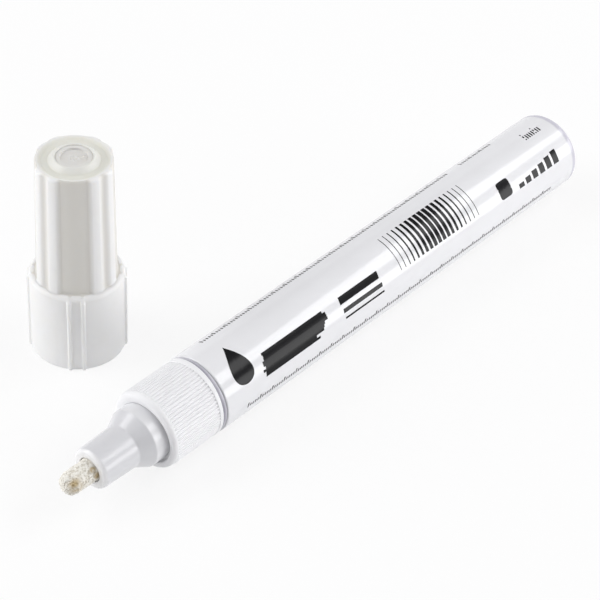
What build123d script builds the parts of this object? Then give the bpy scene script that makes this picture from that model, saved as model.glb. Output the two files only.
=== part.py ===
"""Valve-action paint marker lying uncapped on a table, with its cap standing beside it.

Millimetres, +Z up. The marker lies along X with its nib towards -X. The origin is on the table,
under the middle of the box round marker and cap.
"""

import os
from math import cos, pi, radians, sin

from build123d import *

# Barrel: drawn aluminium tube with a closed tail
barrel_radius = 7.5
barrel_length = 100.0
barrel_wall = 0.55
tail_wall = 0.9
tail_round = 1.9
mouth_round = 0.2

# Gasket ring in the groove between barrel and collar
gasket_width = 1.12
gasket_depth = 0.23
ring_fit = 0.02

# Grip collar: ribbed outside, spigot in the barrel
flange_width = 0.84
flange_depth = 0.05
flange_round = 0.15
rib_count = 72
rib_length = 10.1
rib_crest_depth = 0.1
rib_height = 0.2
rib_crest_share = 0.34
rib_root_share = 0.3
rim_width = 0.94
rim_depth = 0.2
rim_round = 0.5
rim_bore_round = 0.45
spigot_length = 8.0
spigot_wall = 0.9
spigot_lead = 0.4
spigot_fit = 0.03
nose_gap = 0.28
nose_gap_depth = 1.6
land_length = 4.0
press_fit = 0.02

# Nozzle: base land, cone and slim tube round the nib
foot_step = 0.5
foot_thickness = 1.2
base_reach = 2.37
base_round = 0.3
base_wall = 1.3
cone_length = 2.65
tube_wall = 1.53
tube_taper = 0.2
tube_length = 7.85
tube_front_round = 0.4
guide_lap = 0.6
funnel_lap = 0.45

# Nib: bullet felt
nib_radius = 2.25
nib_reach = 6.13
nib_length = 16.5
nib_round = 2.05
nib_fit = 0.07
nib_travel = 2.0

# Valve: seat plug, pin, washer, spring and cage
plug_length = 7.2
neck_step = 1.4
neck_length = 2.5
port_gap = 0.75
pin_radius = 1.25
pin_foot_margin = 0.35
pin_foot_thickness = 1.2
pin_head_lap = 1.2
pin_head_thickness = 1.0
pin_tail_reach = 0.8
washer_thickness = 0.8
washer_margin = 0.2
spring_length = 7.5
spring_clearance = 0.55
spring_wire_radius = 0.25
spring_turns = 6
spring_end_gap = 0.05
cage_wall = 0.8
cage_floor = 1.0
cage_window_count = 4
cage_window_width = 3.0
cage_window_margin = 1.4
guide_fit = 0.08

# Mixing ball, loose in the barrel
ball_radius = 3.0
ball_clearance = 0.1
ball_rest_share = 0.45

# Cap shell: ribbed skirt below, fluted crown above
cap_height = 40.6
skirt_wall = 1.05
skirt_round = 0.9
cap_foot_round = 0.25
cap_slide_fit = 0.07
skirt_bore_clearance = 0.24
skirt_slope_length = 4.5
ledge_width = 0.87
ledge_wall = 1.0
skirt_rib_pairs = 4
skirt_rib_half_angle = 7.8
skirt_rib_width = 0.75
skirt_rib_height = 0.38
skirt_rib_drop = 0.1
skirt_rib_bevel = 0.8
crown_taper = 0.4
crown_bevel = 0.55
crown_edge_round = 0.3
crown_wall = 1.0
crown_panel_count = 4
panel_depth = 0.45
groove_depth = 0.5
panel_half_angle = 22.5
panel_flank_angle = 6
groove_half_angle = 1.5
groove_flank_angle = 5
top_wall = 1.7
top_channel_depth = 0.35
top_channel_margin = 0.8
boss_width = 1.15
boss_rise = 0.5
boss_round = 0.25

# Cap liner: inner cup that seals on the nozzle's base
liner_mouth_wall = 1.12
liner_mouth_length = 1.5
liner_slope_length = 2.0
liner_wall = 0.75
liner_top_clearance = 0.75
liner_land_length = 3.0
liner_top_wall = 1.0
seal_fit = 0.03
stud_radius = 3.15
stud_fit = 0.1
stud_drop = 0.15
stud_dish_margin = 0.75
stud_dish_depth = 0.25

# Layout on the table
cap_beside = 31.25
cap_behind_mouth = 2.12
cap_turn = -135.7

# Overrun of every cut past the face it opens
overrun = 0.5

# Stations along the marker, from the barrel's mouth; the nib's side is negative
gasket_front = -gasket_width
flange_front = gasket_front - flange_width
rib_front = flange_front - rib_length
collar_front = rib_front - rim_width
gap_floor = collar_front + nose_gap_depth
foot_front = gap_floor + land_length
foot_rear = foot_front + foot_thickness
plug_rear = foot_rear + plug_length
neck_rear = plug_rear + neck_length
head_front = neck_rear + washer_thickness
head_rear = head_front + pin_head_thickness
cage_inner_rear = head_rear + spring_length
cage_rear = cage_inner_rear + cage_floor
base_front = collar_front - base_reach
cone_front = base_front - cone_length
nozzle_front = cone_front - tube_length
guide_rear = cone_front + guide_lap
funnel_rear = base_front + funnel_lap
nib_tip = nozzle_front - nib_reach
nib_rear = nib_tip + nib_length
pin_rear = cage_rear + pin_tail_reach

# Radii that follow from the fits
bore_radius = barrel_radius - barrel_wall
spigot_radius = bore_radius - spigot_fit
rib_crest_radius = barrel_radius - rib_crest_depth
rib_root_radius = rib_crest_radius - rib_height
plug_radius = spigot_radius - spigot_wall - press_fit
base_radius = plug_radius - foot_step
chamber_radius = base_radius - base_wall
nib_bore_radius = nib_radius + nib_fit
tip_radius = nib_bore_radius + tube_wall
tube_radius = tip_radius + tube_taper
neck_radius = plug_radius - neck_step
cage_inner_radius = neck_radius + press_fit
cage_outer_radius = cage_inner_radius + cage_wall
port_radius = pin_radius + port_gap
pin_foot_radius = nib_radius - pin_foot_margin
pin_head_radius = port_radius + pin_head_lap
spring_radius = pin_radius + spring_clearance + spring_wire_radius
skirt_bore_radius = rib_crest_radius + cap_slide_fit
skirt_radius = skirt_bore_radius + skirt_wall
crown_base_radius = skirt_radius - ledge_width
crown_top_radius = crown_base_radius - crown_taper
crown_bore_base_radius = crown_base_radius - groove_depth - crown_wall
crown_bore_top_radius = crown_top_radius - groove_depth - crown_wall
seal_radius = base_radius + seal_fit
liner_mouth_radius = seal_radius + liner_mouth_wall
liner_top_radius = crown_bore_top_radius - liner_top_clearance

# Levels up the cap
liner_mouth = rib_length + rim_width
liner_slope_top = liner_mouth + liner_mouth_length + liner_slope_length
liner_seal_top = liner_mouth + liner_land_length
skirt_bore_depth = liner_mouth - skirt_bore_clearance
crown_bore_base = skirt_bore_depth + skirt_slope_length
skirt_height = crown_bore_base + ledge_wall
cap_ceiling = cap_height - top_wall
liner_floor = cap_ceiling - liner_top_wall
channel_floor = cap_height - top_channel_depth
boss_top = cap_height + boss_rise

# Places on the table
marker_x = -(barrel_length + nib_tip) / 2
marker_y = -(cap_beside + skirt_radius - barrel_radius) / 2
marker_place = Pos(marker_x, marker_y, barrel_radius)
cap_place = Pos(marker_x + cap_behind_mouth, marker_y + cap_beside, 0) * Rot(0, 0, cap_turn)


def turned(*corners):
    """Solid turned about X from (x, radius) corners, with an optional rounding as third value."""
    points = [(corner[0], corner[1]) for corner in corners]
    rounds = [corner[2] if len(corner) > 2 else 0 for corner in corners]
    return revolve(make_face(FilletPolyline(*points, radius=rounds, close=True)), Axis.X)


def turned_up(*corners):
    """The same about Z, from (z, radius) corners."""
    return Rot(0, -90, 0) * turned(*corners)


def polar(radius, angle):
    """Point of the XY plane at a radius and an angle in degrees."""
    return Vector(radius * cos(radians(angle)), radius * sin(radians(angle)))


def round_arc(radius, first, last):
    """Arc about the origin between two angles in degrees."""
    return ThreePointArc(polar(radius, first), polar(radius, (first + last) / 2), polar(radius, last))


def barrel():
    outer = turned(
        (0, 0),
        (0, barrel_radius, mouth_round),
        (barrel_length, barrel_radius, tail_round),
        (barrel_length, 0),
    )
    inner_round = tail_round - barrel_wall
    bore_end = barrel_length - tail_wall
    bore = turned((-overrun, 0), (-overrun, bore_radius), (bore_end, bore_radius, inner_round), (bore_end, 0))
    return outer - bore


def barrel_gasket():
    inner = spigot_radius + ring_fit
    outer = barrel_radius - gasket_depth
    return turned((gasket_front, inner), (gasket_front, outer), (0, outer), (0, inner))


def ribbed_ring():
    """Ribs of the grip: a toothed outline drawn out along X."""
    pitch = 360 / rib_count
    corners = []
    for rib in range(rib_count):
        for side_share in (-rib_crest_share / 2, rib_crest_share / 2):
            corners.append(polar(rib_crest_radius, (rib + side_share) * pitch))
        for side_share in (-rib_root_share / 2, rib_root_share / 2):
            corners.append(polar(rib_root_radius, (rib + 1 / 2 + side_share) * pitch))
    outline = make_face(Polyline(*corners, close=True))
    return extrude(Plane.YZ.offset(rib_front) * outline, rib_length)


def grip_collar():
    rim_radius = barrel_radius - rim_depth
    flange_radius = barrel_radius - flange_depth
    gap_radius = base_radius + nose_gap
    front = turned(
        (collar_front, gap_radius, rim_bore_round),
        (collar_front, rim_radius, rim_round),
        (rib_front, rim_radius),
        (rib_front, gap_radius),
    )
    rear = turned(
        (flange_front, 0),
        (flange_front, flange_radius, flange_round),
        (gasket_front, flange_radius, flange_round),
        (gasket_front, spigot_radius),
        (spigot_length - spigot_lead, spigot_radius),
        (spigot_length, spigot_radius - spigot_lead),
        (spigot_length, 0),
    )
    land_radius = base_radius + press_fit
    plug_bore = plug_radius + press_fit
    bore = turned(
        (collar_front - overrun, 0),
        (collar_front - overrun, gap_radius),
        (gap_floor, gap_radius),
        (gap_floor, land_radius),
        (foot_front, land_radius),
        (foot_front, plug_bore),
        (spigot_length + overrun, plug_bore),
        (spigot_length + overrun, 0),
    )
    return front + ribbed_ring() + rear - bore


def nozzle():
    outer = turned(
        (nozzle_front, 0),
        (nozzle_front, tip_radius, tube_front_round),
        (cone_front, tube_radius),
        (base_front, base_radius, base_round),
        (foot_front, base_radius),
        (foot_front, plug_radius),
        (foot_rear, plug_radius),
        (foot_rear, 0),
    )
    bore = turned(
        (nozzle_front - overrun, 0),
        (nozzle_front - overrun, nib_bore_radius),
        (guide_rear, nib_bore_radius),
        (funnel_rear, chamber_radius),
        (foot_rear + overrun, chamber_radius),
        (foot_rear + overrun, 0),
    )
    return outer - bore


def nib():
    return turned((nib_tip, 0), (nib_tip, nib_radius, nib_round), (nib_rear, nib_radius), (nib_rear, 0))


def valve_seat():
    outer = turned(
        (foot_rear, 0),
        (foot_rear, plug_radius),
        (plug_rear, plug_radius),
        (plug_rear, neck_radius),
        (neck_rear, neck_radius),
        (neck_rear, 0),
    )
    port_front = foot_rear + chamber_radius - port_radius
    bore = turned(
        (foot_rear - overrun, 0),
        (foot_rear - overrun, chamber_radius),
        (foot_rear, chamber_radius),
        (port_front, port_radius),
        (neck_rear + overrun, port_radius),
        (neck_rear + overrun, 0),
    )
    return outer - bore


def valve_pin():
    foot_end = nib_rear + pin_foot_thickness
    return turned(
        (nib_rear, 0),
        (nib_rear, pin_foot_radius),
        (foot_end, pin_foot_radius),
        (foot_end, pin_radius),
        (head_front, pin_radius),
        (head_front, pin_head_radius),
        (head_rear, pin_head_radius),
        (head_rear, pin_radius),
        (pin_rear, pin_radius),
        (pin_rear, 0),
    )


def pin_seal():
    inner = pin_radius + ring_fit
    outer = pin_head_radius - washer_margin
    return turned((neck_rear, inner), (neck_rear, outer), (head_front, outer), (head_front, inner))


def coil_path(start, length):
    """Helix about X made of tangent arcs, two to each quarter turn."""
    quarters = 4 * spring_turns
    climb = length / (2 * pi * spring_turns)
    points = []
    headings = []
    for quarter in range(quarters + 1):
        across = polar(spring_radius, 90 * quarter)
        along = polar(spring_radius, 90 * (quarter + 1))
        points.append(Vector(start + length * quarter / quarters, across.X, across.Y))
        headings.append(Vector(climb, along.X, along.Y).normalized())
    arcs = []
    for here, there, leaving, arriving in zip(points, points[1:], headings, headings[1:]):
        span = there - here
        turn = 2 * (1 - leaving.dot(arriving))
        lean = span.dot(leaving + arriving)
        reach = ((lean**2 + turn * span.dot(span)) ** 0.5 - lean) / turn
        first = here + leaving * reach
        second = there - arriving * reach
        middle = (first + second) / 2
        arcs.append(TangentArc(here, middle, tangent=leaving))
        arcs.append(TangentArc(middle, there, tangent=second - first))
    return Wire(arcs)


def valve_spring():
    inset = spring_wire_radius + spring_end_gap
    path = coil_path(head_rear + inset, spring_length - 2 * inset)
    section = Plane(origin=path @ 0, z_dir=path % 0) * Circle(spring_wire_radius)
    pitch = (spring_length - 2 * inset) / spring_turns
    print("valve spring: gap between turns", round(pitch - 2 * spring_wire_radius, 2), "mm")
    return sweep(section, path=path)


def valve_cage():
    cup = turned(
        (plug_rear, cage_inner_radius),
        (plug_rear, cage_outer_radius),
        (cage_rear, cage_outer_radius),
        (cage_rear, pin_radius + guide_fit),
        (cage_inner_rear, pin_radius + guide_fit),
        (cage_inner_rear, cage_inner_radius),
    )
    window_front = neck_rear + cage_window_margin
    window_rear = cage_inner_rear - cage_window_margin
    window = Box(
        window_rear - window_front,
        cage_window_width,
        cage_outer_radius + overrun,
        align=(Align.MIN, Align.CENTER, Align.MIN),
    )
    for index in range(cage_window_count):
        cup -= Rot(360 * index / cage_window_count, 0, 0) * Pos(window_front, 0, 0) * window
    return cup


def mixing_ball():
    front_limit = pin_rear + nib_travel + ball_radius + ball_clearance
    rear_limit = barrel_length - tail_wall - ball_radius - ball_clearance
    rest = front_limit + (rear_limit - front_limit) * ball_rest_share
    drop = bore_radius - ball_radius - ball_clearance
    print("mixing ball: runs from", round(front_limit - rest, 2), "to", round(rear_limit - rest, 2), "mm")
    return Pos(rest, 0, -drop) * Sphere(ball_radius)


def crown_section(height, ridge_radius):
    """Fluted outline of the cap's crown: panel, ridge, groove, ridge, again for each panel."""
    panel_radius = ridge_radius - panel_depth
    groove_radius = ridge_radius - groove_depth
    sector = 360 / crown_panel_count
    ridge_first = panel_half_angle + panel_flank_angle
    groove_first = sector / 2 - groove_half_angle
    ridge_last = groove_first - groove_flank_angle
    stretches = (
        (panel_radius, -panel_half_angle, panel_half_angle),
        (ridge_radius, ridge_first, ridge_last),
        (groove_radius, groove_first, sector - groove_first),
        (ridge_radius, sector - ridge_last, sector - ridge_first),
    )
    arcs = []
    for panel in range(crown_panel_count):
        for radius, first, last in stretches:
            arcs.append(round_arc(radius, panel * sector + first, panel * sector + last))
    edges = []
    for arc, following in zip(arcs, arcs[1:] + arcs[:1]):
        edges += [arc, Line(arc @ 1, following @ 0)]
    return Pos(0, 0, height) * make_face(edges)


def skirt_rib():
    """One upright rib of the skirt, at angle zero, with its head bevelled into the skirt."""
    root = skirt_radius - skirt_rib_height
    crest = skirt_radius + skirt_rib_height
    head = skirt_height - skirt_rib_drop
    side = Polyline((root, 0), (crest, 0), (crest, head - skirt_rib_bevel), (root, head), close=True)
    return extrude(Plane.XZ * make_face(side), skirt_rib_width / 2, both=True)


def cap_shell():
    skirt = turned_up(
        (0, 0),
        (0, skirt_radius, cap_foot_round),
        (skirt_height, skirt_radius, skirt_round),
        (skirt_height, 0),
    )
    crown_foot = skirt_height - overrun
    foot_section = crown_section(crown_foot, crown_base_radius)
    top_section = crown_section(cap_height, crown_top_radius)
    crown = loft([foot_section, top_section], ruled=True)
    envelope_radius = crown_base_radius + overrun
    bevel_foot = cap_height - crown_bevel - envelope_radius + crown_top_radius
    crown &= turned_up(
        (0, 0),
        (0, envelope_radius),
        (bevel_foot, envelope_radius),
        (cap_height, crown_top_radius - crown_bevel, crown_edge_round),
        (cap_height, 0),
    )
    shell = skirt + crown
    for pair in range(skirt_rib_pairs):
        for side in (-skirt_rib_half_angle, skirt_rib_half_angle):
            shell += Rot(0, 0, 360 * pair / skirt_rib_pairs + side) * skirt_rib()
    shell -= turned_up(
        (-overrun, 0),
        (-overrun, skirt_bore_radius),
        (skirt_bore_depth, skirt_bore_radius),
        (crown_bore_base, crown_bore_base_radius),
        (cap_ceiling, crown_bore_top_radius),
        (cap_ceiling, 0),
    )
    hole_radius = stud_radius + stud_fit
    boss_radius = hole_radius + boss_width
    channel_radius = crown_top_radius - panel_depth - top_channel_margin
    shell -= turned_up(
        (channel_floor, 0),
        (channel_floor, channel_radius),
        (cap_height + overrun, channel_radius),
        (cap_height + overrun, 0),
    )
    shell += turned_up(
        (channel_floor - overrun, 0),
        (channel_floor - overrun, boss_radius),
        (boss_top, boss_radius, boss_round),
        (boss_top, 0),
    )
    shell -= Cylinder(hole_radius, boss_top + overrun, align=(Align.CENTER, Align.CENTER, Align.MIN))
    return shell


def cap_liner():
    stud_top = boss_top - stud_drop
    stud_dish_radius = stud_radius - stud_dish_margin
    slope_radius = crown_bore_base_radius - liner_wall / 2
    outer = turned_up(
        (liner_mouth, 0),
        (liner_mouth, liner_mouth_radius),
        (liner_mouth + liner_mouth_length, liner_mouth_radius),
        (liner_slope_top, slope_radius),
        (cap_ceiling, liner_top_radius),
        (cap_ceiling, stud_radius),
        (stud_top, stud_radius),
        (stud_top, stud_dish_radius),
        (stud_top - stud_dish_depth, stud_dish_radius),
        (stud_top - stud_dish_depth, 0),
    )
    bore_base_radius = slope_radius - liner_wall
    bore = turned_up(
        (liner_mouth - overrun, 0),
        (liner_mouth - overrun, seal_radius),
        (liner_seal_top, seal_radius),
        (liner_seal_top + seal_radius - bore_base_radius, bore_base_radius),
        (liner_floor, liner_top_radius - liner_wall),
        (liner_floor, 0),
    )
    return outer - bore


marker_pieces = (
    barrel,
    barrel_gasket,
    grip_collar,
    nozzle,
    nib,
    valve_seat,
    valve_pin,
    pin_seal,
    valve_spring,
    valve_cage,
    mixing_ball,
)
cap_pieces = (cap_shell, cap_liner)

os.makedirs("parts", exist_ok=True)
for piece in marker_pieces:
    export_step(marker_place * piece(), f"parts/{piece.__name__}.step")
for piece in cap_pieces:
    export_step(cap_place * piece(), f"parts/{piece.__name__}.step")
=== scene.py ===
import bpy
import numpy as np
from mathutils import Matrix, Vector


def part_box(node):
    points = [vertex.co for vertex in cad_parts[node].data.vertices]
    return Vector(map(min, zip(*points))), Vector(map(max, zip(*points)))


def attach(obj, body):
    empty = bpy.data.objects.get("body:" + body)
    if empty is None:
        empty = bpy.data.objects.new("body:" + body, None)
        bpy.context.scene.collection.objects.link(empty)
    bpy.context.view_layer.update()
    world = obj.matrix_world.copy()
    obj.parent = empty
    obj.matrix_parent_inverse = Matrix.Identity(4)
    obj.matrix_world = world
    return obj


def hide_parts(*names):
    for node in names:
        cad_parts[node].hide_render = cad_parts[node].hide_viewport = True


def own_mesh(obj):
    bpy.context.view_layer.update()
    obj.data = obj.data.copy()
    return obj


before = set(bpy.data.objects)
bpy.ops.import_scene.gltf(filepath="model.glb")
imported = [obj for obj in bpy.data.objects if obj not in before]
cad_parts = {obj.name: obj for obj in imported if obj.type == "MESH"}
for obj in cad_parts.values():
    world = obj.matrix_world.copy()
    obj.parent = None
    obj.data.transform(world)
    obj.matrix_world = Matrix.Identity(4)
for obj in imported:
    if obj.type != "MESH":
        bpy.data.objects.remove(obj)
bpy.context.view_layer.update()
mm = 0.001  # piece sizes are in millimetres, meshes in metres
print("frame loaded:", len(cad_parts), "nodes")


def nodeBox(node):
    low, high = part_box(node)
    return np.array(low) / mm, np.array(high) / mm


# the marker lies along X, the cap stands along Z: both axes come from the frame
barrelLow, barrelHigh = nodeBox("barrel")
axisY, axisZ = (barrelLow[1:] + barrelHigh[1:]) / 2
barrelRadius = barrelHigh[2] - axisZ
barrelLength = barrelHigh[0] - barrelLow[0]
capLow, capHigh = nodeBox("cap_shell")
capX, capY = (capLow[:2] + capHigh[:2]) / 2
capHeight = capHigh[2]


def station(node):
    # front and rear of a marker node, in millimetres behind the barrel's mouth
    low, high = nodeBox(node)
    return low[0] - barrelLow[0], high[0] - barrelLow[0]


def nodeRadius(node):
    low, high = nodeBox(node)
    return (high[1] - low[1]) / 2


def onMarker(points):
    return points + np.array([barrelLow[0], axisY, axisZ])


def onCap(points):
    return points[..., [1, 2, 0]] + np.array([capX, capY, 0.0])


def unit(vector):
    return vector / np.linalg.norm(vector)


def smoothStep(value, low, high):
    share = np.clip((value - low) / (high - low), 0.0, 1.0)
    return share * share * (3.0 - 2.0 * share)


# A value's distance from the nearest whole multiple of a period, with its sign
def wrapped(value, period):
    return (value + period / 2) % period - period / 2


# An outline from corners (station, radius, rounding). A rounding is an arc that touches both sides of
# its corner: its points are the arc's centre plus a spoke that turns evenly from one side to the other.
def roundedOutline(corners, arcSteps=7, closed=False):
    stretches = []
    for i, corner in enumerate(corners):
        here = np.array(corner[:2], float)
        rounding = corner[2] if len(corner) > 2 else 0.0
        if not rounding or not (closed or 0 < i < len(corners) - 1):
            stretches.append(here[None])
            continue
        toLast = unit(np.array(corners[i - 1][:2]) - here)
        toNext = unit(np.array(corners[(i + 1) % len(corners)][:2]) - here)
        half = np.arccos(np.clip(toLast @ toNext, -1.0, 1.0)) / 2
        centre = here + unit(toLast + toNext) * rounding / np.sin(half)
        first = here + toLast * rounding / np.tan(half) - centre
        last = here + toNext * rounding / np.tan(half) - centre
        turn = np.pi - 2 * half
        share = np.linspace(0.0, 1.0, arcSteps)[:, None]
        spokes = (first * np.sin((1 - share) * turn) + last * np.sin(share * turn)) / np.sin(turn)
        stretches.append(centre + spokes)
    return np.concatenate(stretches)


# Part of an outline that runs straight along its axis
def straightRun(stations, radius):
    return np.stack([stations, np.full(len(stations), radius)], axis=-1)


# Points round an axis: across is radius times cosine, up is radius times sine.
def spun(along, radius, angle):
    return np.stack([along + 0 * angle, radius * np.cos(angle), radius * np.sin(angle)], axis=-1)


def fullTurn(sides):
    return np.linspace(0.0, 2 * np.pi, sides, endpoint=False)


# An outline carried round its axis, one ring for each of its points
def turnedRings(outline, sides):
    return spun(outline[:, 0, None], outline[:, 1, None], fullTurn(sides))


# Rings of points skinned with quads. "loop" joins the last ring to the first, "poles" draws the first and
# last ring to one point each, and "tube" closes the end rings on their middles.
def skinned(rings, ends):
    poles = np.zeros((0, 3))
    if ends == "poles":
        poles = np.stack([rings[0, 0], rings[-1, 0]])
        rings = rings[1:-1]
    if ends == "tube":
        poles = np.stack([rings[0].mean(axis=0), rings[-1].mean(axis=0)])
    count, sides = rings.shape[:2]
    number = np.arange(count * sides).reshape(count, sides)
    beside = np.roll(number, -1, axis=1)
    quads = np.stack([number, beside, np.roll(beside, -1, axis=0), np.roll(number, -1, axis=0)], axis=-1)
    triangles = np.zeros((0, 3), int)
    if ends != "loop":
        quads = quads[:-1]
        firstPole = np.full(sides, count * sides)
        startFan = np.stack([beside[0], number[0], firstPole], axis=-1)
        endFan = np.stack([number[-1], beside[-1], firstPole + 1], axis=-1)
        triangles = np.concatenate([startFan, endFan])
    return np.concatenate([rings.reshape(-1, 3), poles]), quads.reshape(-1, 4), triangles


# A closed skin points outwards when the sum of its corner-to-origin volumes is positive.
def signedVolume(points, quads, triangles):
    halves = np.concatenate([quads[:, [0, 1, 2]], quads[:, [0, 2, 3]], triangles])
    a, b, c = points[halves[:, 0]], points[halves[:, 1]], points[halves[:, 2]]
    return np.einsum("ij,ij->i", a, np.cross(b, c)).sum() / 6


def makePiece(name, points, quads, triangles, material, body, nodes=(), slot=None, sharpAngle=38.0):
    mesh = bpy.data.meshes.new(name)
    mesh.from_pydata((points * mm).tolist(), [], quads.tolist() + triangles.tolist())
    mesh.polygons.foreach_set("use_smooth", np.ones(len(mesh.polygons), bool))
    mesh.set_sharp_from_angle(angle=np.radians(sharpAngle))
    mesh.materials.append(material)
    mesh.update()
    piece = bpy.data.objects.new(name, mesh)
    bpy.context.scene.collection.objects.link(piece)
    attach(piece, body)
    if nodes:
        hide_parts(*nodes)
    return piece


def makeClosed(name, rings, ends, place, material, body, nodes, slot, **shading):
    points, quads, triangles = skinned(rings, ends)
    points = place(points)
    if signedVolume(points, quads, triangles) < 0:
        quads, triangles = quads[:, ::-1], triangles[:, ::-1]
    piece = makePiece(name, points, quads, triangles, material, body, nodes, slot, **shading)
    print("piece", name, len(quads), "quads", len(triangles), "triangles")
    return piece


# Keeps one share per point on the mesh, for the finish to read
def keepShare(piece, label, share):
    kept = piece.data.attributes.new(label, "FLOAT", "POINT")
    kept.data.foreach_set("value", share.astype(np.float32))


noiseHash = {"weights": (127.1, 311.7, 74.7), "factor": 43758.5453}


# Value noise: random numbers on the corners of a cubic lattice, blended smoothly across each cell.
def latticeNoise(points, cell, seed):
    scaled = points / cell + seed
    base = np.floor(scaled)
    share = scaled - base
    share = share * share * (3 - 2 * share)
    total = np.zeros(points.shape[:-1])
    for corner in np.ndindex(2, 2, 2):
        spot = base + corner
        number = np.sin(spot @ np.array(noiseHash["weights"])) * noiseHash["factor"]
        weight = np.prod(np.where(corner, share, 1 - share), axis=-1)
        total += weight * (number - np.floor(number))
    return total


# Node helpers: a term is a socket to link, or a value to set


def feed(tree, slot, term):
    if isinstance(term, bpy.types.NodeSocket):
        tree.links.new(term, slot)
    else:
        slot.default_value = term


def addNode(tree, kind, terms=(), **values):
    # terms are (input name or number, term); values are properties of the node
    node = tree.nodes.new(kind)
    for label, value in values.items():
        setattr(node, label, value)
    for label, term in terms:
        feed(tree, node.inputs[label], term)
    return node


def addMath(tree, operation, *terms):
    return addNode(tree, "ShaderNodeMath", enumerate(terms), operation=operation).outputs[0]


# An S-shaped ramp of a value between two limits, from one end value to the other
def addRamp(tree, value, limits, ends=(0.0, 1.0)):
    labels = ("Value", "From Min", "From Max", "To Min", "To Max")
    terms = zip(labels, (value, *limits, *ends))
    return addNode(tree, "ShaderNodeMapRange", terms, interpolation_type="SMOOTHSTEP").outputs[0]


def addMix(tree, share, first, second):
    terms = [("Factor", share), ("A", first), ("B", second)]
    return addNode(tree, "ShaderNodeMix", terms, data_type="RGBA").outputs["Result"]


def addNoise(tree, scale, detail, roughness):
    place = addNode(tree, "ShaderNodeTexCoord").outputs["Object"]
    terms = [("Vector", place), ("Scale", scale), ("Detail", detail), ("Roughness", roughness)]
    return addNode(tree, "ShaderNodeTexNoise", terms).outputs["Fac"]


def rgb(red, green, blue):
    return (red, green, blue, 1.0)


# Shader groups that several finishes share

grainShape = {"detail": 4.0, "roughness": 0.5, "middle": 0.5}
hazeShape = {"detail": 5.0, "roughness": 0.6, "edge": (0.42, 0.72)}


def newGroup(name, inputs, outputs):
    group = bpy.data.node_groups.new(name, "ShaderNodeTree")
    for direction, sockets in (("INPUT", inputs), ("OUTPUT", outputs)):
        for label, kind in sockets.items():
            group.interface.new_socket(label, in_out=direction, socket_type="NodeSocket" + kind)
    return group, group.nodes.new("NodeGroupInput"), group.nodes.new("NodeGroupOutput")


# Moulding grain: fine noise as a bump height, and the same noise spread round a middle roughness
def makeGrainGroup():
    s = grainShape
    group, given, result = newGroup(
        "mouldGrain",
        {"Scale": "Float", "Roughness": "Float", "Spread": "Float"},
        {"Height": "Float", "Roughness": "Float"},
    )
    height = addNoise(group, given.outputs["Scale"], s["detail"], s["roughness"])
    centred = addMath(group, "SUBTRACT", height, s["middle"])
    shifted = addMath(group, "MULTIPLY_ADD", centred, given.outputs["Spread"], given.outputs["Roughness"])
    feed(group, result.inputs["Height"], height)
    feed(group, result.inputs["Roughness"], shifted)
    return group


# Handling haze: broad soft blotches that mix a clean colour with a faintly soiled one
def makeHazeGroup():
    s = hazeShape
    group, given, result = newGroup(
        "handlingHaze",
        {"Clean": "Color", "Soiled": "Color", "Scale": "Float", "Amount": "Float"},
        {"Color": "Color"},
    )
    noise = addNoise(group, given.outputs["Scale"], s["detail"], s["roughness"])
    share = addMath(group, "MULTIPLY", addRamp(group, noise, s["edge"]), given.outputs["Amount"])
    mixed = addMix(group, share, given.outputs["Clean"], given.outputs["Soiled"])
    feed(group, result.inputs["Color"], mixed)
    return group


grainGroup = makeGrainGroup()
hazeGroup = makeHazeGroup()


# A finish with haze on its colour and grain on its roughness and bump. haze is (scale, amount), grain (scale,
# bump strength) and roughness (middle, spread); plain sockets are set on the shader.
def makeFinish(name, clean, soiled, haze, grain, roughness, bumpDepth=0.05, **sockets):
    material = bpy.data.materials.new(name)
    material.use_nodes = True
    tree = material.node_tree
    shader = tree.nodes["Principled BSDF"]
    terms = [("Clean", rgb(*clean)), ("Soiled", rgb(*soiled)), ("Scale", haze[0]), ("Amount", haze[1])]
    blotches = addNode(tree, "ShaderNodeGroup", terms, node_tree=hazeGroup)
    terms = [("Scale", grain[0]), ("Roughness", roughness[0]), ("Spread", roughness[1])]
    specks = addNode(tree, "ShaderNodeGroup", terms, node_tree=grainGroup)
    terms = [("Height", specks.outputs["Height"]), ("Strength", grain[1]), ("Distance", bumpDepth * mm)]
    relief = addNode(tree, "ShaderNodeBump", terms)
    feed(tree, shader.inputs["Base Color"], blotches.outputs["Color"])
    feed(tree, shader.inputs["Roughness"], specks.outputs["Roughness"])
    feed(tree, shader.inputs["Normal"], relief.outputs["Normal"])
    for label, value in sockets.items():
        feed(tree, shader.inputs[label.replace("_", " ")], value)
    return material


# Blends a finish's colour into another one, by a share
def retint(material, share, colour):
    tree = material.node_tree
    base = tree.nodes["Principled BSDF"].inputs["Base Color"]
    feed(tree, base, addMix(tree, share, base.links[0].from_socket, rgb(*colour)))


# Blends a finish into another colour where an attribute of the mesh says so
def retintMarked(material, label, colour):
    share = addNode(material.node_tree, "ShaderNodeAttribute", attribute_name=label)
    retint(material, share.outputs["Fac"], colour)


# Blends a finish into another colour between two stations along the marker
def retintAlong(material, start, end, colour):
    tree = material.node_tree
    place = addNode(tree, "ShaderNodeTexCoord").outputs["Object"]
    along = addNode(tree, "ShaderNodeSeparateXYZ", [("Vector", place)]).outputs["X"]
    limits = (np.array([start, end]) + barrelLow[0]) * mm
    retint(material, addRamp(tree, along, limits), colour)


# Barrel: drawn aluminium tube in white enamel, closed at the tail

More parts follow.
